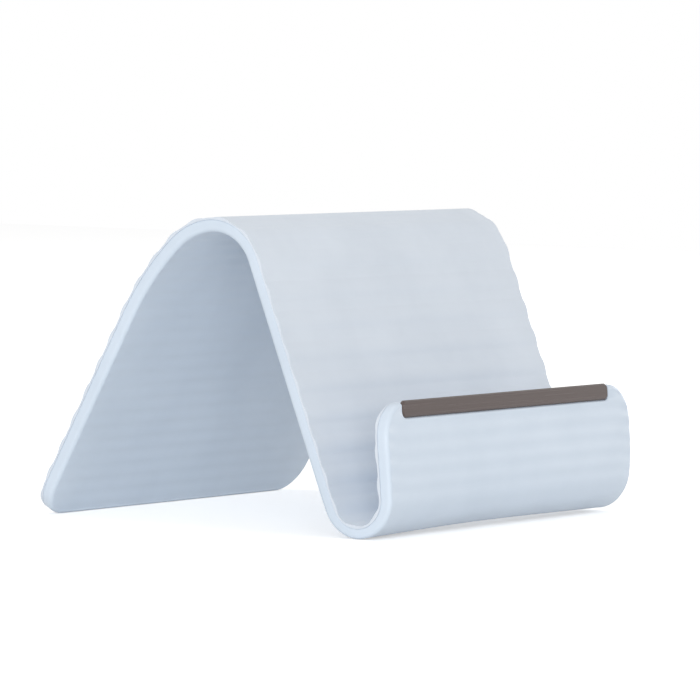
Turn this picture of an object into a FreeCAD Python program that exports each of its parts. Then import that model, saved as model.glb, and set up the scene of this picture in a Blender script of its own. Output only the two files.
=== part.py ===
import FreeCAD, Part
import math
import os
import Sketcher

# A phone stand bent from one flat strip. Seen from its side, the strip runs down a short lip, round a
# cradle, up a rest panel, over the apex and down a back leg to the table. It has two layers, a smooth base
# and a ribbed pad, which meet at an interface. A soft metal core lies between them and holds the bends, and
# a plate is let into the lip.
# X is the strip's width, Y points to the back and Z up. Lengths are in millimetres, angles in degrees.

SIZES = {
    "strip_width": 99.4,
    "base_thickness": 2.75,
    "cradle_floor": 2.3,
    "skin_thickness": 0.42,
    "corner_radius": 8,
    "corner_ease": 0.02,
    "edge_round": 1.1,
    "seam_chamfer": 0.18,
    "lip_length": 20.5,
    "lip_lean": 5.5,
    "cradle_radius": 6.45,
    "panel_length": 58.03,
    "panel_lean": 21.8,
    "apex_radius": 13,
    "apex_turn": 78.5,
    "shoulder_radius": 18.4,
    "shoulder_turn": 33,
    "bow_radius": 66,
    "leg_angle": 61.4,
    "rib_pitch": 7.1,
    "rib_start": 3.72,
    "rib_width": 3.87,
    "rib_height": 0.33,
    "rib_flank": 35,
    "rib_round": 1,
    "core_thickness": 0.8,
    "core_margin": 5,
    "core_clearance": 0.2,
    "core_corner": 4,
    "plate_left_inset": 6.8,
    "plate_right_inset": 9.1,
    "plate_height": 3.75,
    "plate_thickness": 0.8,
    "plate_rise": 0.3,
    "plate_gap": 0.2,
    "plate_corner": 1.3,
    "plate_bevel": 0.3,
}

# The strip's stretches in order from the lip's free end: straight runs, and bends to the left (1) or the
# right (-1).
STRETCHES = ["lip", "cradle", "panel", "apex", "shoulder", "bow", "leg"]
BEND_SIDE = {"cradle": 1, "apex": -1, "shoulder": -1, "bow": -1}
RUN_LENGTH = {"lip": "sizes.lip_length", "panel": "sizes.panel_length", "leg": "leg_length"}
TURN = {
    "cradle": "cradle_turn",
    "apex": "sizes.apex_turn",
    "shoulder": "sizes.shoulder_turn",
    "bow": "bow_turn",
}

# Ends and axes of sketch geometry, by their numbers in a sketch.
START, END, CENTRE = range(1, 4)
LEVEL_AXIS, UPRIGHT_AXIS = range(-1, -3, -1)
ORIGIN = (LEVEL_AXIS, START)
SAME = 1e-4

doc = FreeCAD.newDocument("phone_stand")


def add_sheet(name, cells):
    """A spreadsheet with one named value a row."""
    sheet = doc.addObject("Spreadsheet::Sheet", name)
    for row, (alias, content) in enumerate(cells.items(), start=1):
        sheet.set(f"A{row}", alias)
        sheet.set(f"B{row}", str(content))
        sheet.setAlias(f"B{row}", alias)
    return sheet


def layout_cells():
    """Heights above the interface and the start of each stretch on it, worked out from the driving sizes."""
    cells = {
        "base_face": "=-sizes.base_thickness",
        "skin_face": "=sizes.skin_thickness",
        "core_face": "=-sizes.core_thickness",
        "plate_seat": "=sizes.plate_thickness - sizes.base_thickness",
        "plate_left": "=sizes.plate_left_inset - sizes.strip_width / 2",
        "plate_right": "=sizes.strip_width / 2 - sizes.plate_right_inset",
        "plate_bottom": "=sizes.plate_rise - sizes.plate_height",
        "rib_root": "=sizes.skin_thickness / 2",
        "rib_foot": "=sizes.rib_width + 2 * (sizes.skin_thickness - rib_root) / tan(sizes.rib_flank)",
        "rib_crest": "=sizes.skin_thickness + sizes.rib_height",
        "strip_trim": "=0",
        "core_trim": "=sizes.core_margin",
        "recess_trim": "=sizes.core_margin - sizes.core_clearance",
        "lip_heading": "=-(90 + sizes.lip_lean)",
        "panel_heading": "=90 - sizes.panel_lean",
        "cradle_turn": "=panel_heading - lip_heading",
        "bow_turn": "=panel_heading - sizes.apex_turn - sizes.shoulder_turn + sizes.leg_angle",
        "cradle_taper": "=90 - cradle_turn / 2",
        "cradle_tilt": "=-(lip_heading + panel_heading) / 2",
        "cradle_thinning": "=sizes.base_thickness - sizes.cradle_floor",
        "floor_lift": "=cradle_thinning / (cos(cradle_tilt) - sin(cradle_taper))",
        "base_face_radius": "=sizes.cradle_radius + sizes.base_thickness + floor_lift * sin(cradle_taper)",
        "skin_face_radius": "=sizes.cradle_radius - sizes.skin_thickness",
        "core_face_radius": "=sizes.cradle_radius + sizes.core_thickness",
        "cradle_height": "=sizes.cradle_radius + sizes.cradle_floor",
        "lip_y": "=sizes.cradle_radius * sin(lip_heading) - sizes.lip_length * cos(lip_heading)",
        "lip_rise": "=-sizes.lip_length * sin(lip_heading)",
        "lip_z": "=cradle_height - sizes.cradle_radius * cos(lip_heading) + lip_rise",
        "lip_at": "=0",
    }
    for name, following in zip(STRETCHES, STRETCHES[1:] + ["foot"]):
        y, z, heading, end_heading = f"{name}_y", f"{name}_z", f"{name}_heading", f"{name}_heading"
        if name == "leg":
            # the rounded lower edge of the leg's end comes down to the table
            above_table = "leg_z - sizes.base_thickness * cos(sizes.leg_angle)"
            rounding = "sizes.edge_round * (sin(sizes.leg_angle) + cos(sizes.leg_angle) - 1)"
            cells["leg_length"] = f"=({above_table} + {rounding}) / sin(sizes.leg_angle)"
        if name in RUN_LENGTH:
            cells[f"{name}_run"] = f"={RUN_LENGTH[name]}"
            cells[f"{following}_y"] = f"={y} + {name}_run * cos({heading})"
            cells[f"{following}_z"] = f"={z} + {name}_run * sin({heading})"
        else:
            side, radius = BEND_SIDE[name], f"sizes.{name}_radius"
            end_heading = f"{heading} + {side} * {TURN[name]}"
            cells[f"{name}_run"] = f"={radius} * {TURN[name]} * pi / 180"
            cells[f"{name}_centre_y"] = f"={y} - {side} * {radius} * sin({heading})"
            cells[f"{name}_centre_z"] = f"={z} + {side} * {radius} * cos({heading})"
            cells[f"{following}_y"] = f"={name}_centre_y + {side} * {radius} * sin({end_heading})"
            cells[f"{following}_z"] = f"={name}_centre_z - {side} * {radius} * cos({end_heading})"
        cells.setdefault(f"{following}_heading", f"={end_heading}")
        cells[f"{following}_at"] = f"={name}_at + {name}_run"
        # ribs keep one pitch along the whole strip, so each stretch begins at its own step of it
        cells[f"{name}_step"] = f"=ceil(({name}_at - sizes.rib_start) / sizes.rib_pitch)"
        reach = "foot_at - rib_foot / 2" if name == "leg" else f"{following}_at"
        cells[f"{name}_ribs"] = f"=floor(({reach} - sizes.rib_start) / sizes.rib_pitch) - {name}_step + 1"
        cells[f"{name}_first"] = f"=sizes.rib_start + {name}_step * sizes.rib_pitch - {name}_at"
    return cells


sizes = add_sheet("sizes", SIZES)
layout = add_sheet("layout", layout_cells())
doc.recompute()


def number(alias):
    """The value of a named cell of either sheet."""
    sheet = sizes if alias in SIZES else layout
    return float(sheet.get(alias))


def flat(along, up):
    return FreeCAD.Vector(along, up, 0)


def direction(heading):
    return flat(math.cos(math.radians(heading)), math.sin(math.radians(heading)))


def left_of(heading):
    return direction(heading + 90)


def make_body(name):
    body = doc.addObject("PartDesign::Body", name)
    body.Label = name
    return body


def make_sketch(body, name, plane):
    sketch = body.newObject("Sketcher::SketchObject", name)
    support = next(feature for feature in body.Origin.OriginFeatures if feature.Role == plane)
    sketch.AttachmentSupport = [(support, "")]
    sketch.MapMode = "FlatFace"
    return sketch


def turn_sketch(sketch, axis, angle, **places):
    """Moves a sketch off its plane: the angle about an axis and the places along others are expressions."""
    sketch.AttachmentOffset = FreeCAD.Placement(FreeCAD.Vector(), FreeCAD.Rotation(axis, 1))
    sketch.setExpression("AttachmentOffset.Rotation.Angle", angle)
    for place, expression in places.items():
        sketch.setExpression(f"AttachmentOffset.Base.{place}", expression)


def bind(sketch, name, expression, kind, *places):
    """A named dimension of a sketch that is driven by an expression."""
    value = float(sketch.evalExpression(expression))
    index = sketch.addConstraint(Sketcher.Constraint(kind, *places, value))
    sketch.renameConstraint(index, name)
    sketch.setExpression(f"Constraints.{name}", expression)


def relate(sketch, kind, *places):
    sketch.addConstraint(Sketcher.Constraint(kind, *places))


def bind_angle(sketch, name, expression, line):
    value = math.radians(float(sketch.evalExpression(expression)))
    index = sketch.addConstraint(Sketcher.Constraint("Angle", line, value))
    sketch.renameConstraint(index, name)
    sketch.setExpression(f"Constraints.{name}", f"({expression}) * 1 deg")


def extrude(body, kind, name, sketch, length, sides="Symmetric"):
    feature = body.newObject(f"PartDesign::{kind}", name)
    feature.Profile = sketch
    feature.SideType = sides
    feature.setExpression("Length", length)
    doc.recompute()
    return feature


def dress(body, kind, name, feature, edges, size_name, size):
    """A fillet or chamfer along some edges of a feature."""
    dressing = body.newObject(f"PartDesign::{kind}", name)
    dressing.Base = (feature, edges)
    dressing.setExpression(size_name, size)
    doc.recompute()
    return dressing


def entry_and_exit(name):
    """A bend to the right is an arc drawn against the strip's direction."""
    return (END, START) if BEND_SIDE.get(name) == -1 else (START, END)


def stretch_line(name, height, trim):
    """One stretch of a line that runs along the strip at a height above the interface."""
    heading = number(f"{name}_heading")
    if name in RUN_LENGTH:
        first = flat(number(f"{name}_y"), number(f"{name}_z")) + left_of(heading) * height
        last = first + direction(heading) * number(f"{name}_run")
        if name == STRETCHES[0]:
            first += direction(heading) * trim
        if name == STRETCHES[-1]:
            last -= direction(heading) * trim
        return Part.LineSegment(first, last)
    side = BEND_SIDE[name]
    following = STRETCHES[STRETCHES.index(name) + 1]
    centre = flat(number(f"{name}_centre_y"), number(f"{name}_centre_z"))
    circle = Part.Circle(centre, FreeCAD.Vector(0, 0, 1), number(f"{name}_radius") - side * height)
    angles = [math.radians(h - side * 90) for h in (heading, number(f"{following}_heading"))]
    return Part.ArcOfCircle(circle, min(angles), max(angles))


def draw_band(body, name, face, trim):
    """A section of the strip from the interface to a face along it, cut back by a trim at each end."""
    sketch = make_sketch(body, name, "YZ_Plane")
    seam, outer = {}, {}
    for line, height in ((seam, 0), (outer, number(face))):
        for stretch in STRETCHES:
            line[stretch] = sketch.addGeometry(stretch_line(stretch, height, number(trim)), False)
        for before, after in zip(STRETCHES, STRETCHES[1:]):
            leaving, entering = entry_and_exit(before)[1], entry_and_exit(after)[0]
            relate(sketch, "Tangent", line[before], leaving, line[after], entering)
    for stretch, end in ((STRETCHES[0], START), (STRETCHES[-1], END)):
        ends = [sketch.getPoint(line[stretch], end) for line in (seam, outer)]
        cap = sketch.addGeometry(Part.LineSegment(*ends), False)
        relate(sketch, "Coincident", cap, START, seam[stretch], end)
        relate(sketch, "Coincident", cap, END, outer[stretch], end)
        relate(sketch, "Perpendicular", cap, seam[stretch])
        bind(sketch, f"{stretch}_depth", f"abs(layout.{face})", "Distance", cap)
    relate(sketch, "PointOnObject", seam["cradle"], CENTRE, UPRIGHT_AXIS)
    bind(sketch, "cradle_height", "layout.cradle_height", "DistanceY", *ORIGIN, seam["cradle"], CENTRE)
    bind(sketch, "face_radius", f"layout.{face}_radius", "Radius", outer["cradle"])
    for stretch in BEND_SIDE:
        bind(sketch, f"{stretch}_radius", f"sizes.{stretch}_radius", "Radius", seam[stretch])
    for stretch in ("apex", "shoulder", "bow"):
        relate(sketch, "Coincident", seam[stretch], CENTRE, outer[stretch], CENTRE)
    for stretch in ("apex", "shoulder"):
        bind_angle(sketch, f"{stretch}_turn", TURN[stretch], seam[stretch])
    for stretch in RUN_LENGTH:
        relate(sketch, "Parallel", seam[stretch], outer[stretch])
        bind_angle(sketch, f"{stretch}_heading", f"layout.{stretch}_heading", seam[stretch])
        trimmed = "" if stretch == "panel" else f" - layout.{trim}"
        bind(sketch, f"{stretch}_run", f"layout.{stretch}_run{trimmed}", "Distance", seam[stretch])
    return sketch


def end_sketch(body, name, end, height):
    """A sketch in the plane of the lip or the leg, at a height. Its origin is the free end, y points out."""
    sketch = make_sketch(body, name, "XY_Plane")
    angle = "layout.lip_heading + 180" if end == "lip" else "layout.foot_heading"
    out_y = f"layout.{end}_y - layout.{height} * sin(layout.{end}_heading)"
    out_z = f"layout.{end}_z + layout.{height} * cos(layout.{end}_heading)"
    turn_sketch(sketch, FreeCAD.Vector(1, 0, 0), angle, y=out_y, z=out_z)
    return sketch


def end_point(end, x, outward, height):
    """The point in space at a place in the plane of the lip or the leg."""
    heading = number(f"{end}_heading")
    sign = -1 if end == "lip" else 1
    place = flat(number(f"{end}_y"), number(f"{end}_z"))
    place = place + direction(heading) * sign * outward + left_of(heading) * height
    return FreeCAD.Vector(x, place.x, place.y)


def cut_corners(body, end):
    """Rounds the ribbed layer's corners at a free end. The rounding meets the sides at a slight angle."""
    sketch = end_sketch(body, f"{end}_corners", end, "strip_trim")
    radius, half = number("corner_radius"), number("strip_width") / 2
    inset = radius - number("corner_ease")
    for side, word in ((1, "right"), (-1, "left")):
        centre = flat(side * (half - inset), -inset)
        first = 0 if side == 1 else math.pi / 2
        circle = Part.Circle(centre, FreeCAD.Vector(0, 0, 1), radius)
        arc = sketch.addGeometry(Part.ArcOfCircle(circle, first, first + math.pi / 2), False)
        low, top = (START, END) if side == 1 else (END, START)
        corners = [
            centre + flat(side * radius, 0),
            centre + flat(side * 2 * radius, 0),
            centre + flat(side * 2 * radius, 2 * radius),
            centre + flat(0, 2 * radius),
            centre + flat(0, radius),
        ]
        lines = [sketch.addGeometry(Part.LineSegment(*ends), False) for ends in zip(corners, corners[1:])]
        relate(sketch, "Coincident", arc, low, lines[0], START)
        relate(sketch, "Coincident", arc, top, lines[-1], END)
        for before, after in zip(lines, lines[1:]):
            relate(sketch, "Coincident", before, END, after, START)
        for line, level in zip(lines, ("Horizontal", "Vertical", "Horizontal", "Vertical")):
            relate(sketch, level, line)
        relate(sketch, "Horizontal", arc, CENTRE, arc, low)
        relate(sketch, "Vertical", arc, CENTRE, arc, top)
        inward = "(sizes.corner_radius - sizes.corner_ease)"
        bind(sketch, f"{word}_radius", "sizes.corner_radius", "Radius", arc)
        bind(sketch, f"{word}_centre_y", f"-{inward}", "DistanceY", *ORIGIN, arc, CENTRE)
        centre_x = f"{side} * (sizes.strip_width / 2 - {inward})"
        bind(sketch, f"{word}_centre_x", centre_x, "DistanceX", *ORIGIN, arc, CENTRE)
        bind(sketch, f"{word}_over", "sizes.corner_radius", "Distance", lines[0])
        bind(sketch, f"{word}_out", "sizes.corner_radius", "Distance", lines[-1])
    depth = "2 * (sizes.base_thickness + layout.rib_crest)"
    return extrude(body, "Pocket", f"{end}_corner_cut", sketch, depth)


def place_on_strip(position):
    """The height above the interface at a point, and the way that height points."""
    best = None
    for name in STRETCHES:
        heading = number(f"{name}_heading")
        if name in RUN_LENGTH:
            offset = flat(position.y - number(f"{name}_y"), position.z - number(f"{name}_z"))
            along = offset.dot(direction(heading))
            height = offset.dot(left_of(heading))
        else:
            side, radius = BEND_SIDE[name], number(f"{name}_radius")
            offset = flat(position.y - number(f"{name}_centre_y"), position.z - number(f"{name}_centre_z"))
            height = side * (radius - offset.Length)
            here = math.degrees(math.atan2(offset.y, offset.x)) + side * 90
            turned = (side * (here - heading) + 180) % 360 - 180
            along = radius * math.radians(turned)
            heading = here
        inside = -SAME <= along <= number(f"{name}_run") + SAME
        if inside and (best is None or abs(height) < abs(best[0])):
            best = (height, left_of(heading))
    return best


def rim_edges(feature, low, high):
    """Names of the edges where the strip's rim meets its face, which lies between two heights."""
    rim, face_edges = [], []
    for face in feature.Shape.Faces:
        low_u, high_u, low_v, high_v = face.ParameterRange
        middle = ((low_u + high_u) / 2, (low_v + high_v) / 2)
        normal = face.normalAt(*middle)
        found = place_on_strip(face.valueAt(*middle))
        lies_flat = found and abs(normal.y * found[1].x + normal.z * found[1].y) > 0.5
        if not lies_flat:
            rim += face.Edges
        elif low - SAME < found[0] < high + SAME:
            face_edges += face.Edges
    shared = [edge for edge in face_edges if any(edge.isSame(other) for other in rim)]
    numbered = enumerate(feature.Shape.Edges, start=1)
    return [f"Edge{i}" for i, edge in numbered if any(edge.isSame(other) for other in shared)]


def edges_at(feature, places):
    """Names of the edges whose middles are nearest to some points."""
    middles = [edge.CenterOfMass for edge in feature.Shape.Edges]
    nearest = []
    for place in places:
        nearest.append(min(range(len(middles)), key=lambda i: middles[i].distanceToPoint(place)))
    return [f"Edge{i + 1}" for i in nearest]


def draw_tab(body, name, height, gap, top):
    """The plate's outline in the lip's plane, grown by a gap. The gap and the top are expressions."""
    sketch = end_sketch(body, name, "lip", height)
    edges = [
        f"layout.plate_left - {gap}",
        f"layout.plate_bottom - {gap}",
        f"layout.plate_right + {gap}",
        top,
    ]
    left, bottom, right, upper = [float(sketch.evalExpression(edge)) for edge in edges]
    corners = [flat(left, bottom), flat(right, bottom), flat(right, upper), flat(left, upper)]
    pairs = zip(corners, corners[1:] + corners[:1])
    lines = [sketch.addGeometry(Part.LineSegment(*ends), False) for ends in pairs]
    for before, after in zip(lines, lines[1:] + lines[:1]):
        relate(sketch, "Coincident", before, END, after, START)
    for line, level in zip(lines, ("Horizontal", "Vertical", "Horizontal", "Vertical")):
        relate(sketch, level, line)
    bind(sketch, "left", edges[0], "DistanceX", *ORIGIN, lines[0], START)
    bind(sketch, "bottom", edges[1], "DistanceY", *ORIGIN, lines[0], START)
    bind(sketch, "right", edges[2], "DistanceX", *ORIGIN, lines[2], START)
    bind(sketch, "top", edges[3], "DistanceY", *ORIGIN, lines[2], START)
    return sketch


def make_base():
    """The smooth layer: rounded outside, with a recess for the core and a seat for the plate on the lip."""
    body = make_body("base_strip")
    section = draw_band(body, "base_section", "base_face", "strip_trim")
    solid = extrude(body, "Pad", "base_pad", section, "sizes.strip_width")
    half, middle = number("strip_width") / 2, number("base_face") / 2
    corners = [end_point(end, s * half, 0, middle) for end in ("lip", "foot") for s in (-1, 1)]
    edges = edges_at(solid, corners)
    solid = dress(body, "Fillet", "strip_corners", solid, edges, "Radius", "sizes.corner_radius")
    heights = sorted((number("base_face"), -number("cradle_floor")))
    edges = rim_edges(solid, *heights)
    solid = dress(body, "Fillet", "outer_rounding", solid, edges, "Radius", "sizes.edge_round")
    edges = rim_edges(solid, 0, 0)
    dress(body, "Chamfer", "seam_groove", solid, edges, "Size", "sizes.seam_chamfer")
    section = draw_band(body, "recess_section", "core_face", "recess_trim")
    extrude(body, "Pocket", "core_recess", section, "sizes.strip_width - 2 * layout.recess_trim")
    sketch = draw_tab(body, "seat_outline", "base_face", "sizes.plate_gap", "sizes.plate_height")
    seat = extrude(body, "Pocket", "plate_recess", sketch, "sizes.plate_thickness", "One side")
    gap, middle = number("plate_gap"), number("plate_seat") - number("plate_thickness") / 2
    ends = (number("plate_left") - gap, number("plate_right") + gap)
    places = [end_point("lip", x, number("plate_bottom") - gap, middle) for x in ends]
    rounding = "sizes.plate_corner + sizes.plate_gap"
    dress(body, "Fillet", "recess_corners", seat, edges_at(seat, places), "Radius", rounding)
    return body


def make_core():
    """The bendable metal sheet between the layers."""
    body = make_body("core_sheet")
    section = draw_band(body, "core_section", "core_face", "core_trim")
    sheet = extrude(body, "Pad", "core_pad", section, "sizes.strip_width - 2 * layout.core_trim")
    half = number("strip_width") / 2 - number("core_trim")
    inward, height = -number("core_trim"), number("core_face") / 2
    places = [end_point(end, s * half, inward, height) for end in ("lip", "foot") for s in (-1, 1)]
    dress(body, "Fillet", "core_corners", sheet, edges_at(sheet, places), "Radius", "sizes.core_corner")
    return body


def make_plate():
    """The blank plate in the lip's recess, with a bevel along its upper front edge."""
    body = make_body("lip_plate")
    sketch = draw_tab(body, "plate_outline", "plate_seat", "0", "sizes.plate_rise")
    plate = extrude(body, "Pad", "plate_pad", sketch, "sizes.plate_thickness", "One side")
    rise, middle = number("plate_rise"), number("plate_seat") - number("plate_thickness") / 2
    left, right = number("plate_left"), number("plate_right")
    levels = (rise, number("plate_bottom"))
    places = [end_point("lip", x, level, middle) for x in (left, right) for level in levels]
    edges = edges_at(plate, places)
    plate = dress(body, "Fillet", "plate_corners", plate, edges, "Radius", "sizes.plate_corner")
    front = [end_point("lip", (left + right) / 2, rise, number("base_face"))]
    dress(body, "Chamfer", "plate_bevel", plate, edges_at(plate, front), "Size", "sizes.plate_bevel")
    return body


def rib_point(stretch, along, height):
    """A point of a rib's section, along the strip from its middle. On a bend it goes round the bend."""
    if stretch not in BEND_SIDE:
        return flat(along, height)
    side, radius = BEND_SIDE[stretch], number(f"{stretch}_radius")
    turn = along / (radius - side * number("rib_root"))
    return flat(math.sin(turn), -side * math.cos(turn)) * (radius - side * height)


def draw_rib(body, stretch):
    """The section of a stretch's first rib, rooted in the skin. Root and crest follow the stretch's bend."""
    sketch = make_sketch(body, f"{stretch}_rib", "YZ_Plane")
    side = BEND_SIDE.get(stretch, 0)
    first, heading = f"layout.{stretch}_first", f"layout.{stretch}_heading"
    angle = heading
    place = {
        "x": f"layout.{stretch}_y + {first} * cos({heading})",
        "y": f"layout.{stretch}_z + {first} * sin({heading})",
    }
    if side:
        angle = f"{heading} + {side} * {first} / sizes.{stretch}_radius * 180 / pi"
        place = {"x": f"layout.{stretch}_centre_y", "y": f"layout.{stretch}_centre_z"}
    turn_sketch(sketch, FreeCAD.Vector(0, 0, 1), angle, **place)

    half, flank, rounding = number("rib_foot") / 2, math.radians(number("rib_flank")), number("rib_round")
    root, crest = number("rib_root"), number("rib_crest")
    shoulder = half - (crest - root) / math.tan(flank)
    tangent = rounding * math.tan(flank / 2)
    flat_end = (shoulder - tangent, crest)
    turn = (shoulder + tangent * math.cos(flank), crest - tangent * math.sin(flank))
    drop = rounding * (1 - math.cos(flank / 2))
    bulge = (shoulder - tangent + rounding * math.sin(flank / 2), crest - drop)

    def add(shape, *places):
        return sketch.addGeometry(shape(*[rib_point(stretch, *place) for place in places]), False)

    def mirrored(place):
        return (-place[0], place[1])

    def add_level(end):
        """A line, or an arc that follows the bend, from a place to its mirror image."""
        if not side:
            return add(Part.LineSegment, end, mirrored(end))
        first_end = end if side == -1 else mirrored(end)
        return add(Part.Arc, first_end, (0, end[1]), mirrored(first_end))

    right_end, left_end = (END, START) if side == 1 else (START, END)
    bottom, top = add_level((half, root)), add_level(flat_end)
    right = add(Part.LineSegment, (half, root), turn)
    left = add(Part.LineSegment, (-half, root), mirrored(turn))
    right_arc = add(Part.Arc, turn, bulge, flat_end)
    left_arc = add(Part.Arc, mirrored(flat_end), mirrored(bulge), mirrored(turn))
    relate(sketch, "Coincident", right, START, bottom, right_end)
    relate(sketch, "Coincident", left, START, bottom, left_end)
    relate(sketch, "Tangent", right, END, right_arc, START)
    relate(sketch, "Tangent", right_arc, END, top, right_end)
    relate(sketch, "Tangent", top, left_end, left_arc, START)
    relate(sketch, "Tangent", left_arc, END, left, END)
    relate(sketch, "Equal", right_arc, left_arc)
    bind(sketch, "rounding", "sizes.rib_round", "Radius", right_arc)
    slope = "sizes.rib_flank"
    if side:
        root_radius = f"(sizes.{stretch}_radius - {side} * layout.rib_root)"
        slope += f" - {side} * layout.rib_foot / {root_radius} * 90 / pi"
        for line in (bottom, top):
            relate(sketch, "Coincident", line, CENTRE, *ORIGIN)
        relate(sketch, "Horizontal", bottom, START, bottom, END)
        bind_angle(sketch, "width", f"layout.rib_foot / {root_radius} * 180 / pi", bottom)
        bind(sketch, "root", root_radius, "Radius", bottom)
        bind(sketch, "crest", f"sizes.{stretch}_radius - {side} * layout.rib_crest", "Radius", top)
    else:
        relate(sketch, "Horizontal", top)
        relate(sketch, "Symmetric", bottom, START, bottom, END, UPRIGHT_AXIS)
        bind(sketch, "width", "layout.rib_foot", "Distance", bottom)
        bind(sketch, "root", "layout.rib_root", "DistanceY", *ORIGIN, bottom, START)
        bind(sketch, "crest", "layout.rib_crest", "DistanceY", *ORIGIN, top, START)
    bind_angle(sketch, "right_flank", f"180 - ({slope})", right)
    bind_angle(sketch, "left_flank", slope, left)
    return sketch


def add_ribs(body, stretch):
    """The ribs of one stretch: the first one, repeated along the run or round the bend."""
    if number(f"{stretch}_ribs") < 1:
        return
    sketch = draw_rib(body, stretch)
    rib = extrude(body, "Pad", f"{stretch}_first_rib", sketch, "sizes.strip_width")
    if number(f"{stretch}_ribs") < 2:
        return
    span = f"(layout.{stretch}_ribs - 1) * sizes.rib_pitch"
    if stretch in BEND_SIDE:
        pattern = body.newObject("PartDesign::PolarPattern", f"{stretch}_ribs")
        pattern.Axis = (sketch, ["N_Axis"])
        pattern.Reversed = BEND_SIDE[stretch] == -1
        pattern.setExpression("Angle", f"{span} / sizes.{stretch}_radius * 180 / pi")
    else:
        pattern = body.newObject("PartDesign::LinearPattern", f"{stretch}_ribs")
        pattern.Direction = (sketch, ["H_Axis"])
        pattern.setExpression("Length", span)
    pattern.Originals = [rib]
    pattern.setExpression("Occurrences", f"layout.{stretch}_ribs")
    body.Tip = pattern
    doc.recompute()


def make_pad():
    """The ribbed layer: a thin skin with a rib at every pitch, cut to the strip's outline."""
    body = make_body("ribbed_pad")
    skin = draw_band(body, "skin_section", "skin_face", "strip_trim")
    extrude(body, "Pad", "skin_pad", skin, "sizes.strip_width")
    for stretch in STRETCHES:
        add_ribs(body, stretch)
    # a rib on a straight run next to the cradle would reach past the interface at its root
    under = draw_band(body, "underside_section", "base_face", "strip_trim")
    extrude(body, "Pocket", "underside_trim", under, "sizes.strip_width")
    cut_corners(body, "lip")
    cut_corners(body, "foot")
    return body


pieces = [make_base(), make_core(), make_plate(), make_pad()]
doc.recompute()

# The origin goes to the middle of the stand's footprint, on the table.
box = FreeCAD.BoundBox()
for piece in pieces:
    box.add(piece.Shape.optimalBoundingBox())
for piece in pieces:
    piece.Placement = FreeCAD.Placement(FreeCAD.Vector(0, -box.Center.y, 0), FreeCAD.Rotation())
doc.recompute()

for thing in doc.Objects:
    if "Invalid" in thing.State or "Error" in thing.State:
        raise RuntimeError(f"{thing.Label} failed: {thing.State}")
for piece in pieces:
    if piece.Shape.isNull() or not piece.Shape.isValid():
        raise RuntimeError(f"{piece.Label} has no valid shape")

os.makedirs("parts", exist_ok=True)
for piece in pieces:
    piece.Shape.exportStep(f"parts/{piece.Label}.step")
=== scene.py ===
import math

import bmesh
import bpy
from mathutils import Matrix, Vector


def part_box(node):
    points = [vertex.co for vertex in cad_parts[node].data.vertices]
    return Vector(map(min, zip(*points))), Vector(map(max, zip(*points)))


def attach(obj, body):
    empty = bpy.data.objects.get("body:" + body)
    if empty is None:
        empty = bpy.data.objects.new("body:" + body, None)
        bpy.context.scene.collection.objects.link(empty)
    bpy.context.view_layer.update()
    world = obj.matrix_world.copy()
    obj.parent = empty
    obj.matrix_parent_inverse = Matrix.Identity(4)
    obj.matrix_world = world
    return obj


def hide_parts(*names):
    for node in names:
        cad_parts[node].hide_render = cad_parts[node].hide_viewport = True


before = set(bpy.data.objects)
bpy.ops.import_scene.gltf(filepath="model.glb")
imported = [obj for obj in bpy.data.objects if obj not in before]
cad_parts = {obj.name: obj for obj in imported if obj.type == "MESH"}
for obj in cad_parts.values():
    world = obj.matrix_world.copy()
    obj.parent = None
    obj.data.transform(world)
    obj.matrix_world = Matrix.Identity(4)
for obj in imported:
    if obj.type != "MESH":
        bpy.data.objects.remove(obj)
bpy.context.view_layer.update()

# A stand bent from one soft strip. Each layer is modelled flat, with X across the strip, Y along it
# from the lip's free end and Z up from the seam between the layers, and is bent along one guide line.
MM = 0.001

STRIP_WIDTH = 99.4 * MM
BASE_THICKNESS = 2.75 * MM
CRADLE_FLOOR = 2.3 * MM
SKIN_THICKNESS = 0.42 * MM
CORNER_RADIUS = 8 * MM
EDGE_ROUND = 1.1 * MM
SEAM_CHAMFER = 0.18 * MM

# The guide line, from the lip to the leg's foot. Headings and turns are in degrees.
LIP_LENGTH = 20.5 * MM
LIP_HEADING = -95.5
CRADLE_RADIUS = 6.45 * MM
PANEL_LENGTH = 58.03 * MM
PANEL_HEADING = 68.2
APEX_RADIUS = 13 * MM
APEX_TURN = 78.5
SHOULDER_RADIUS = 18.4 * MM
SHOULDER_TURN = 33
BOW_RADIUS = 66 * MM
LEG_HEADING = -61.4

RIB_PITCH = 7.1 * MM
RIB_START = 3.72 * MM
RIB_WIDTH = 4.4 * MM
RIB_HEIGHT = 0.33 * MM
WAVES_PER_RIB = 2
WAVE_DEPTH = 0.14 * MM

CORE_THICKNESS = 0.8 * MM
CORE_MARGIN = 5 * MM
CORE_CLEARANCE = 0.2 * MM
CORE_CORNER = 4 * MM

PLATE_LEFT_INSET = 6.8 * MM
PLATE_RIGHT_INSET = 9.1 * MM
PLATE_DROP = 3.45 * MM
PLATE_THICKNESS = 0.8 * MM
PLATE_GAP = 0.2 * MM
SEAT_CORNER = 1.5 * MM
SEAT_BEVEL = 0.2 * MM

# The middle of the cradle lies a little higher than its ends, as a strip's does when it is bent tightly.
# A lattice lifts it: for each of its rows, the rises in millimetres from the left end to the right.
FLARE_REACH = 14 * MM
FLARE_HEIGHT = 4 * BASE_THICKNESS
FLARE_ROWS = 9
FLARE_LAYERS = 3
FLARE_RISES = {
    2: [0, 0, 0, 0, 0, 0, 0.3],
    3: [0, 0.4, 0.8, 0.95, 0.9, 0.8, 1.5],
    4: [0, 0.4, 0.8, 0.95, 0.9, 0.8, 0.7],
    5: [0, 0.4, 0.8, 0.95, 0.9, 0.7, 0.3],
}
# The smooth layer is stretched thinner round the cradle: the share of the thinning at each row.
THINNING_SHARES = {3: 0.6, 4: 1.2, 5: 0.6}

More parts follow.
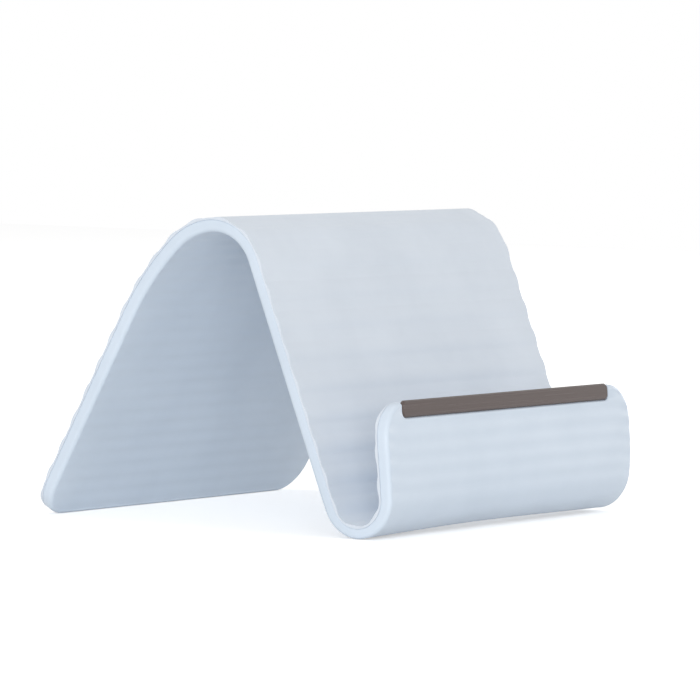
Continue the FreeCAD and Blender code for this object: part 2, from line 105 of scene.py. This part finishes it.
# How finely the round and waved forms are divided.
COLUMNS = 20
WAVE_ROWS = 12
RIB_ROWS = 16
CORNER_SEGMENTS = 12
EDGE_SEGMENTS = 5
SEAT_SEGMENTS = 6
GUIDE_STEPS = 64
WIDEST_SPAN = 45
SMOOTH_ANGLE = math.radians(30)
NEAR = 0.001 * MM

# Silicone: a satin smooth layer and a matt ribbed one. Each pattern's scale counts to the metre.
SATIN_TONES = ((0.61, 0.7, 0.81), (0.66, 0.75, 0.86))
SATIN_ROUGHNESS = 0.5
MATT_TONES = ((0.64, 0.705, 0.79), (0.69, 0.755, 0.84))
MATT_ROUGHNESS = 0.6
ROUGHNESS_SPREAD = 0.06
CLOUDS = dict(Scale=45, Detail=4, Roughness=0.55)
SHEEN_PATCHES = dict(Scale=160, Detail=3)
MOULDED_GRAIN = dict(Scale=3200, Detail=2)
GRAIN_RELIEF = dict(Strength=0.25, Distance=0.04 * MM)
SILICONE_SHEEN = dict(Specular_IOR_Level=0.4, Sheen_Weight=0.15, Sheen_Roughness=0.5)
SOFT_BLEND = (0.3, 0.7)

# The plate's and the metal sheet's fine lines are noise with a scale of its own along each axis.
PLATE_LINES = (25, 2500, 2500)
PLATE_LINE_DETAIL = 3
PLATE_TONES = ((0.096, 0.072, 0.067), (0.106, 0.08, 0.075))
PLATE_ROUGHNESS = (0.25, 0.29)
PLATE_RELIEF = dict(Strength=0.03, Distance=0.01 * MM)
PLATE_COAT = dict(Specular_IOR_Level=0.3, Coat_Weight=0.1, Coat_Roughness=0.08)
METAL_LINES = (1800, 60, 60)
METAL_LINE_DETAIL = 4
METAL_TONES = ((0.62, 0.63, 0.64), (0.8, 0.81, 0.82))
METAL_ROUGHNESS = (0.32, 0.5)
FULL_BLEND = (0, 1)

# The studio. A lamp has a place, a width and a height in metres, and a power in watts.
WHITE = (1, 1, 1, 1)
FLOOR_SIZE = 2.8
FLOOR_COLOUR = (0.92, 0.92, 0.92, 1)
FLOOR_LIFT = 0.45
SURROUND_LIGHT = 0.55
LAMPS = {
    "key_lamp": ((-1.25, -0.7, 0.28), (1.2, 0.5), 11.1),
    "side_lamp": ((1.35, -0.15, 0.2), (0.6, 0.36), 7),
    "top_lamp": ((0.05, 0.35, 1.1), (0.4, 0.4), 1.8),
}
LAMP_COLOUR = (1, 0.98, 0.95)
LAMP_TARGET = Vector((0, 0, 0.03))

CAMERA_PLACE = (-1.00603, -0.70313, 0.10911)
CAMERA_TURN = (86.6634, -0.7382, -55.1368)
CAMERA_LENS = 276.66
SENSOR_WIDTH = 36


def bend_stretches():
    """The strip's runs and bends in order, each a length and a turn in degrees, left being positive."""
    bow_turn = PANEL_HEADING - APEX_TURN - SHOULDER_TURN - LEG_HEADING
    bends = (
        (CRADLE_RADIUS, PANEL_HEADING - LIP_HEADING),
        (APEX_RADIUS, -APEX_TURN),
        (SHOULDER_RADIUS, -SHOULDER_TURN),
        (BOW_RADIUS, -bow_turn),
    )
    arcs = [(radius * math.radians(abs(turn)), turn) for radius, turn in bends]
    cradle, apex, shoulder, bow = arcs
    return [(LIP_LENGTH, 0), cradle, (PANEL_LENGTH, 0), apex, shoulder, bow]


def heading_vector(heading):
    """A step of length 1 along a heading in the plane of the guide line."""
    return Vector((0, math.cos(math.radians(heading)), math.sin(math.radians(heading))))


def guide_knots():
    """Knots of the guide line: place, heading, and the lengths of the handles before and after."""
    cradle_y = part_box("ribbed_pad")[0].y + CRADLE_RADIUS
    cradle_centre = Vector((0, cradle_y, CRADLE_RADIUS + CRADLE_FLOOR))
    place = cradle_centre - CRADLE_RADIUS * heading_vector(LIP_HEADING + 90)
    place -= LIP_LENGTH * heading_vector(LIP_HEADING)
    heading = LIP_HEADING
    knots = [[place, heading, 0, 0]]

    def add_span(length, turn):
        nonlocal place, heading
        angle = math.radians(abs(turn))
        chord, handle = length, length / 3
        if turn:
            radius = length / angle
            chord = 2 * radius * math.sin(angle / 2)
            handle = 4 / 3 * math.tan(angle / 4) * radius
        place = place + chord * heading_vector(heading + turn / 2)
        heading += turn
        knots[-1][3] = handle
        knots.append([place, heading, handle, handle])

    for length, turn in bend_stretches():
        spans = max(1, math.ceil(abs(turn) / WIDEST_SPAN))
        for _ in range(spans):
            add_span(length / spans, turn / spans)
    slope = math.radians(-LEG_HEADING)
    above_table = place.z - BASE_THICKNESS * math.cos(slope)
    rounding = EDGE_ROUND * (math.sin(slope) + math.cos(slope) - 1)
    add_span((above_table + rounding) / math.sin(slope), 0)
    return knots


KNOTS = guide_knots()
LEG_LENGTH = (KNOTS[-1][0] - KNOTS[-2][0]).length
STRIP_LENGTH = sum(length for length, _ in bend_stretches()) + LEG_LENGTH
RIB_COUNT = math.floor((STRIP_LENGTH - RIB_WIDTH / 2 - RIB_START) / RIB_PITCH) + 1


def draw_guide():
    """The guide line as a curve that the flat layers are bent along."""
    bpy.ops.curve.primitive_bezier_curve_add(location=(0, 0, 0))
    guide = bpy.context.object
    guide.name = "guide_line"
    guide.data.resolution_u = GUIDE_STEPS
    guide.data.use_deform_bounds = False
    spline = guide.data.splines[0]
    spline.bezier_points.add(len(KNOTS) - len(spline.bezier_points))
    for point, (place, heading, before, after) in zip(spline.bezier_points, KNOTS):
        point.handle_left_type = "FREE"
        point.handle_right_type = "FREE"
        point.co = place
        point.handle_left = place - before * heading_vector(heading)
        point.handle_right = place + after * heading_vector(heading)
        point.tilt = -math.pi / 2
    return guide


def draw_flare():
    """A lattice over the cradle that lifts the middle of its width and thins its floor."""
    cradle_length = bend_stretches()[1][0]
    middle = LIP_LENGTH + cradle_length / 2
    bpy.ops.object.add(type="LATTICE", location=(0, middle, 0))
    lattice = bpy.context.object
    lattice.name = "cradle_flare"
    columns = len(FLARE_RISES[FLARE_ROWS // 2])
    lattice.data.points_u = columns
    lattice.data.points_v = FLARE_ROWS
    lattice.data.points_w = FLARE_LAYERS
    lattice.data.interpolation_type_w = "KEY_LINEAR"
    lattice.scale = (STRIP_WIDTH, cradle_length + 2 * FLARE_REACH, FLARE_HEIGHT)
    bpy.context.view_layer.update()
    reach_below = FLARE_HEIGHT / 2
    thinning = (BASE_THICKNESS - CRADLE_FLOOR) * reach_below / BASE_THICKNESS
    for index, point in enumerate(lattice.data.points):
        line, column = divmod(index, columns)
        layer, row = divmod(line, FLARE_ROWS)
        rise = 0
        if row in FLARE_RISES:
            rise += FLARE_RISES[row][column] * MM
        if layer == 0:
            rise += THINNING_SHARES.get(row, 0) * thinning
        point.co_deform.z += rise / lattice.scale.z
    return lattice


def pick(piece, kind, test):
    """Selects the vertices, edges or faces of the piece in edit mode that pass a test."""
    bpy.ops.mesh.select_mode(type=kind)
    bpy.ops.mesh.select_all(action="DESELECT")
    cage = bmesh.from_edit_mesh(piece.data)
    for part in {"VERT": cage.verts, "EDGE": cage.edges, "FACE": cage.faces}[kind]:
        if test(part):
            part.select_set(True)
    cage.select_flush_mode()
    bmesh.update_edit_mesh(piece.data)


def at_height(height):
    """A test for a vertex, edge or face that lies flat at a height."""
    def test(part):
        corners = [part] if isinstance(part, bmesh.types.BMVert) else part.verts
        return all(abs(corner.co.z - height) < NEAR for corner in corners)
    return test


def lay_sheet(name, margin, corner, low, high):
    """A flat sheet with rounded corners, left in edit mode. The margin is cut off the outline."""
    bpy.ops.object.select_all(action="DESELECT")
    bpy.ops.mesh.primitive_plane_add(size=1, location=(0, STRIP_LENGTH / 2, low))
    piece = bpy.context.object
    piece.name = name
    piece.data.name = name
    bpy.ops.transform.resize(value=(STRIP_WIDTH - 2 * margin, STRIP_LENGTH - 2 * margin, 1))
    bpy.ops.object.transform_apply(location=True, rotation=False, scale=True)
    bpy.ops.object.mode_set(mode="EDIT")
    bpy.ops.mesh.bevel(offset=corner, segments=CORNER_SEGMENTS, affect="VERTICES")
    bpy.ops.mesh.extrude_region_move(TRANSFORM_OT_translate={"value": (0, 0, high - low)})
    return piece


def cut_across(places):
    """Cuts the piece in edit mode across its width at places along the strip."""
    for place in places:
        bpy.ops.mesh.select_all(action="SELECT")
        bpy.ops.mesh.bisect(plane_co=(0, place, 0), plane_no=(0, 1, 0), threshold=NEAR)


def cut_along():
    """Cuts the piece in edit mode along its length, so that it can curve across its width."""
    step = STRIP_WIDTH / COLUMNS
    for column in range(1, COLUMNS):
        bpy.ops.mesh.select_all(action="SELECT")
        place = column * step - STRIP_WIDTH / 2
        bpy.ops.mesh.bisect(plane_co=(place, 0, 0), plane_no=(1, 0, 0), threshold=NEAR)


def row_places(rows_per_pitch):
    """Places along the strip that divide each pitch of the ribs into rows."""
    step = RIB_PITCH / rows_per_pitch
    first = math.ceil((NEAR - RIB_START) / step)
    last = math.floor((STRIP_LENGTH - NEAR - RIB_START) / step)
    return [RIB_START + row * step for row in range(first, last + 1)]


def apply_modifier(piece, kind, **settings):
    """Adds a modifier to the piece with some settings, and applies it."""
    modifier = piece.modifiers.new(kind.lower(), kind)
    for name, value in settings.items():
        setattr(modifier, name, value)
    bpy.ops.object.modifier_apply(modifier=modifier.name)


def bend(piece):
    """Bends a flat piece along the guide line and closes its mesh."""
    bpy.ops.mesh.select_all(action="SELECT")
    bpy.ops.mesh.remove_doubles(threshold=NEAR)
    bpy.ops.object.mode_set(mode="OBJECT")
    apply_modifier(piece, "LATTICE", object=flare)
    apply_modifier(piece, "CURVE", object=guide, deform_axis="POS_Y")
    bpy.ops.object.mode_set(mode="EDIT")
    bpy.ops.mesh.select_all(action="SELECT")
    bpy.ops.mesh.normals_make_consistent(inside=False)
    bpy.ops.object.mode_set(mode="OBJECT")
    bpy.ops.object.shade_smooth_by_angle(angle=SMOOTH_ANGLE)


def model_seat_cutter():
    """A block with the shape of the plate's seat, with a bevelled mouth."""
    left = PLATE_LEFT_INSET - PLATE_GAP - STRIP_WIDTH / 2
    right = STRIP_WIDTH / 2 - PLATE_RIGHT_INSET + PLATE_GAP
    far, near = PLATE_DROP + PLATE_GAP, -SEAT_CORNER - 2 * SEAT_BEVEL
    bpy.ops.object.select_all(action="DESELECT")
    place = ((left + right) / 2, (far + near) / 2, -BASE_THICKNESS - SEAT_BEVEL)
    bpy.ops.mesh.primitive_plane_add(size=1, location=place)
    cutter = bpy.context.object
    mouth = (right - left + 2 * SEAT_BEVEL, far - near + 2 * SEAT_BEVEL, 1)
    bpy.ops.transform.resize(value=mouth)
    bpy.ops.object.transform_apply(location=True, rotation=False, scale=True)
    bpy.ops.object.mode_set(mode="EDIT")
    mouth_corner = SEAT_CORNER + SEAT_BEVEL
    bpy.ops.mesh.bevel(offset=mouth_corner, segments=SEAT_SEGMENTS, affect="VERTICES")
    bpy.ops.mesh.extrude_region_move(TRANSFORM_OT_translate={"value": (0, 0, SEAT_BEVEL)})
    bpy.ops.mesh.inset(thickness=SEAT_BEVEL, depth=SEAT_BEVEL)
    depth = PLATE_THICKNESS - SEAT_BEVEL
    bpy.ops.mesh.extrude_region_move(TRANSFORM_OT_translate={"value": (0, 0, depth)})
    bpy.ops.mesh.select_all(action="SELECT")
    bpy.ops.mesh.normals_make_consistent(inside=False)
    bpy.ops.object.mode_set(mode="OBJECT")
    return cutter


def wave_depth(place):
    """How deep the fine waves are pressed at a place along the strip."""
    turn = 2 * math.pi * (place - RIB_START) / (RIB_PITCH / WAVES_PER_RIB)
    return WAVE_DEPTH * (1 - math.cos(turn)) / 2


def rib_rise(place):
    """How high the pad stands over its skin at a place along the strip: a low round rib a pitch."""
    last_crest = RIB_START + (RIB_COUNT - 1) * RIB_PITCH
    crest = RIB_START + RIB_PITCH * round((place - RIB_START) / RIB_PITCH)
    share = (place - min(crest, last_crest)) / (RIB_WIDTH / 2)
    return RIB_HEIGHT * max(0, 1 - share ** 2)


def shape_face(piece, face, offset):
    """Moves a flat face of the piece in edit mode by an offset that depends on the place along it."""
    on_face = at_height(face)

    def steps(vertex):
        return round(offset(vertex.co.y) / NEAR)

    cage = bmesh.from_edit_mesh(piece.data)
    moves = {steps(vertex) for vertex in cage.verts if on_face(vertex)} - {0}
    for move in sorted(moves):
        pick(piece, "VERT", lambda vertex: on_face(vertex) and steps(vertex) == move)
        bpy.ops.transform.translate(value=(0, 0, move * NEAR))


def model_strip():
    """The smooth layer: rounded edges, a recess for the metal sheet, the plate's seat and fine waves."""
    cutter = model_seat_cutter()
    piece = lay_sheet("smooth_layer", 0, CORNER_RADIUS, -BASE_THICKNESS, 0)
    pick(piece, "EDGE", at_height(-BASE_THICKNESS))
    bpy.ops.mesh.bevel(offset=EDGE_ROUND, segments=EDGE_SEGMENTS, affect="EDGES")
    pick(piece, "EDGE", at_height(0))
    bpy.ops.mesh.bevel(offset=SEAM_CHAMFER, segments=1, affect="EDGES")
    pick(piece, "FACE", at_height(0))
    bpy.ops.mesh.inset(thickness=CORE_MARGIN - CORE_CLEARANCE - SEAM_CHAMFER)
    bpy.ops.mesh.extrude_region_move(TRANSFORM_OT_translate={"value": (0, 0, -CORE_THICKNESS)})
    bpy.ops.mesh.select_all(action="SELECT")
    bpy.ops.mesh.normals_make_consistent(inside=False)
    bpy.ops.object.mode_set(mode="OBJECT")
    apply_modifier(piece, "BOOLEAN", object=cutter, operation="DIFFERENCE", solver="EXACT")
    bpy.data.objects.remove(cutter)
    bpy.ops.object.mode_set(mode="EDIT")
    cut_across(row_places(WAVE_ROWS))
    cut_along()
    shape_face(piece, -BASE_THICKNESS, wave_depth)
    bend(piece)
    return piece


def model_pad():
    """The ribbed layer: a thin skin with a rib raised at every pitch."""
    piece = lay_sheet("ribbed_layer", 0, CORNER_RADIUS, 0, SKIN_THICKNESS)
    cut_across(row_places(RIB_ROWS))
    cut_along()
    shape_face(piece, SKIN_THICKNESS, rib_rise)
    bend(piece)
    return piece


def model_core():
    """The metal sheet between the layers."""
    piece = lay_sheet("metal_sheet", CORE_MARGIN, CORE_CORNER, -CORE_THICKNESS, 0)
    first, last = CORE_MARGIN, STRIP_LENGTH - CORE_MARGIN
    cut_across(place for place in row_places(WAVE_ROWS) if first < place < last)
    cut_along()
    bend(piece)
    return piece


def set_inputs(node, **inputs):
    """Sets inputs of a node by name, with _ for a space. A socket is linked, and a value is set."""
    for name, value in inputs.items():
        socket = node.inputs[name.replace("_", " ")]
        if isinstance(value, bpy.types.NodeSocket):
            node.id_data.links.new(value, socket)
        else:
            socket.default_value = value


def node_adder(nodes):
    """A function that adds a node to these nodes, with some of its inputs set."""
    def add(kind, **inputs):
        node = nodes.new(f"ShaderNode{kind}")
        set_inputs(node, **inputs)
        return node
    return add


def new_material(name):
    """A material, its shader, and a function that adds nodes to it."""
    material = bpy.data.materials.new(name)
    material.use_nodes = True
    nodes = material.node_tree.nodes
    return material, nodes["Principled BSDF"], node_adder(nodes)


def two_tones(add, pattern, tones, blend):
    """A colour that follows a pattern from one tone to another, over a range of the pattern's values."""
    ramp = add("ValToRGB", Fac=pattern)
    for stop, tone, position in zip(ramp.color_ramp.elements, tones, blend):
        stop.position = position
        stop.color = (*tone, 1)
    return ramp.outputs["Color"]


def between(add, pattern, low, high):
    """A value that follows a pattern between two limits."""
    return add("MapRange", Value=pattern, To_Min=low, To_Max=high).outputs["Result"]


def fine_lines(add, scale, detail):
    """A pattern of fine lines, with a scale along each axis."""
    place = add("TexCoord").outputs["Object"]
    stretched = add("Mapping", Vector=place, Scale=scale).outputs["Vector"]
    return add("TexNoise", Vector=stretched, Scale=1, Detail=detail).outputs["Fac"]


def soft_silicone(name, tones, roughness):
    """Silicone: a faintly clouded colour, uneven sheen and a fine moulded grain."""
    material, shader, add = new_material(name)
    place = add("TexCoord").outputs["Object"]
    clouds = add("TexNoise", Vector=place, **CLOUDS).outputs["Fac"]
    patches = add("TexNoise", Vector=place, **SHEEN_PATCHES).outputs["Fac"]
    grain = add("TexNoise", Vector=place, **MOULDED_GRAIN).outputs["Fac"]
    low, high = roughness - ROUGHNESS_SPREAD, roughness + ROUGHNESS_SPREAD
    set_inputs(
        shader,
        Base_Color=two_tones(add, clouds, tones, SOFT_BLEND),
        Roughness=between(add, patches, low, high),
        Normal=add("Bump", Height=grain, **GRAIN_RELIEF).outputs["Normal"],
        **SILICONE_SHEEN,
    )
    return material


def gloss_plate():
    """Dark grey-brown plastic with a clear gloss and faint brushed lines along its length."""
    material, shader, add = new_material("gloss_plate")
    brushed = fine_lines(add, PLATE_LINES, PLATE_LINE_DETAIL)
    set_inputs(
        shader,
        Base_Color=two_tones(add, brushed, PLATE_TONES, SOFT_BLEND),
        Roughness=between(add, brushed, *PLATE_ROUGHNESS),
        Normal=add("Bump", Height=brushed, **PLATE_RELIEF).outputs["Normal"],
        **PLATE_COAT,
    )
    return material


def soft_metal():
    """Rolled aluminium sheet, with fine lines along the strip."""
    material, shader, add = new_material("soft_metal")
    rolled = fine_lines(add, METAL_LINES, METAL_LINE_DETAIL)
    set_inputs(
        shader,
        Base_Color=two_tones(add, rolled, METAL_TONES, FULL_BLEND),
        Roughness=between(add, rolled, *METAL_ROUGHNESS),
        Metallic=1,
    )
    return material


def seen_directly(add):
    """1 where the camera, a reflection or a clear surface looks straight at the backdrop, or else 0."""
    path = add("LightPath")
    seen = path.outputs["Is Camera Ray"]
    for ray in ("Is Glossy Ray", "Is Transmission Ray"):
        either = add("Math")
        either.operation = "MAXIMUM"
        either.id_data.links.new(seen, either.inputs[0])
        either.id_data.links.new(path.outputs[ray], either.inputs[1])
        seen = either.outputs["Value"]
    return seen


def lay_floor():
    """A plain pale floor that shows white and keeps the stand's shadow."""
    bpy.ops.object.select_all(action="DESELECT")
    bpy.ops.mesh.primitive_plane_add(size=FLOOR_SIZE, location=(0, 0, 0))
    floor = bpy.context.object
    floor.name = "floor"
    material, shader, add = new_material("pale_floor")
    nodes, links = material.node_tree.nodes, material.node_tree.links
    lift = add("Math")
    lift.operation = "MULTIPLY"
    links.new(seen_directly(add), lift.inputs[0])
    lift.inputs[1].default_value = FLOOR_LIFT
    matt = add("BsdfDiffuse", Color=FLOOR_COLOUR)
    glow = add("Emission", Color=WHITE, Strength=lift.outputs["Value"])
    both = add("AddShader")
    links.new(matt.outputs["BSDF"], both.inputs[0])
    links.new(glow.outputs["Emission"], both.inputs[1])
    set_inputs(nodes["Material Output"], Surface=both.outputs["Shader"])
    nodes.remove(shader)
    floor.data.materials.append(material)


def surround_with_white():
    """A surround that gives soft light and shows white."""
    world = bpy.data.worlds.new("white_surround")
    bpy.context.scene.world = world
    world.use_nodes = True
    nodes, links = world.node_tree.nodes, world.node_tree.links
    add = node_adder(nodes)
    soft = nodes["Background"]
    set_inputs(soft, Color=WHITE, Strength=SURROUND_LIGHT)
    white = add("Background", Color=WHITE, Strength=1)
    choice = add("MixShader", Fac=seen_directly(add))
    links.new(soft.outputs["Background"], choice.inputs[1])
    links.new(white.outputs["Background"], choice.inputs[2])
    set_inputs(nodes["World Output"], Surface=choice.outputs["Shader"])


def hang_lamp(name, place, size, power):
    """A soft rectangular lamp that faces the stand."""
    bpy.ops.object.light_add(type="AREA", location=place)
    lamp = bpy.context.object
    lamp.name = name
    lamp.data.shape = "RECTANGLE"
    lamp.data.size, lamp.data.size_y = size
    lamp.data.energy = power
    lamp.data.color = LAMP_COLOUR
    lamp.rotation_euler = (LAMP_TARGET - Vector(place)).to_track_quat("-Z", "Y").to_euler()


def place_camera():
    """The camera, low at the front left."""
    turns = [math.radians(turn) for turn in CAMERA_TURN]
    bpy.ops.object.camera_add(location=CAMERA_PLACE, rotation=turns)
    camera = bpy.context.object
    camera.data.sensor_width = SENSOR_WIDTH
    camera.data.lens = CAMERA_LENS
    bpy.context.scene.camera = camera


bpy.ops.object.select_all(action="DESELECT")
guide = draw_guide()
flare = draw_flare()

satin = soft_silicone("satin_silicone", SATIN_TONES, SATIN_ROUGHNESS)
matt = soft_silicone("matt_silicone", MATT_TONES, MATT_ROUGHNESS)
for piece, node, slot, material in (
    (model_strip(), "base_strip", "strip", satin),
    (model_pad(), "ribbed_pad", "pad", matt),
    (model_core(), "core_sheet", "core", soft_metal()),
):
    piece.data.materials.clear()
    piece.data.materials.append(material)
    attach(piece, "root")
    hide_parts(node)

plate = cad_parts["lip_plate"]
plate.data.materials.clear()
plate.data.materials.append(gloss_plate())

bpy.data.objects.remove(guide)
bpy.data.objects.remove(flare)

lay_floor()
surround_with_white()
for name, (place, size, power) in LAMPS.items():
    hang_lamp(name, place, size, power)
place_camera()
bpy.context.scene.view_settings.view_transform = "Standard"

bpy.context.view_layer.update()
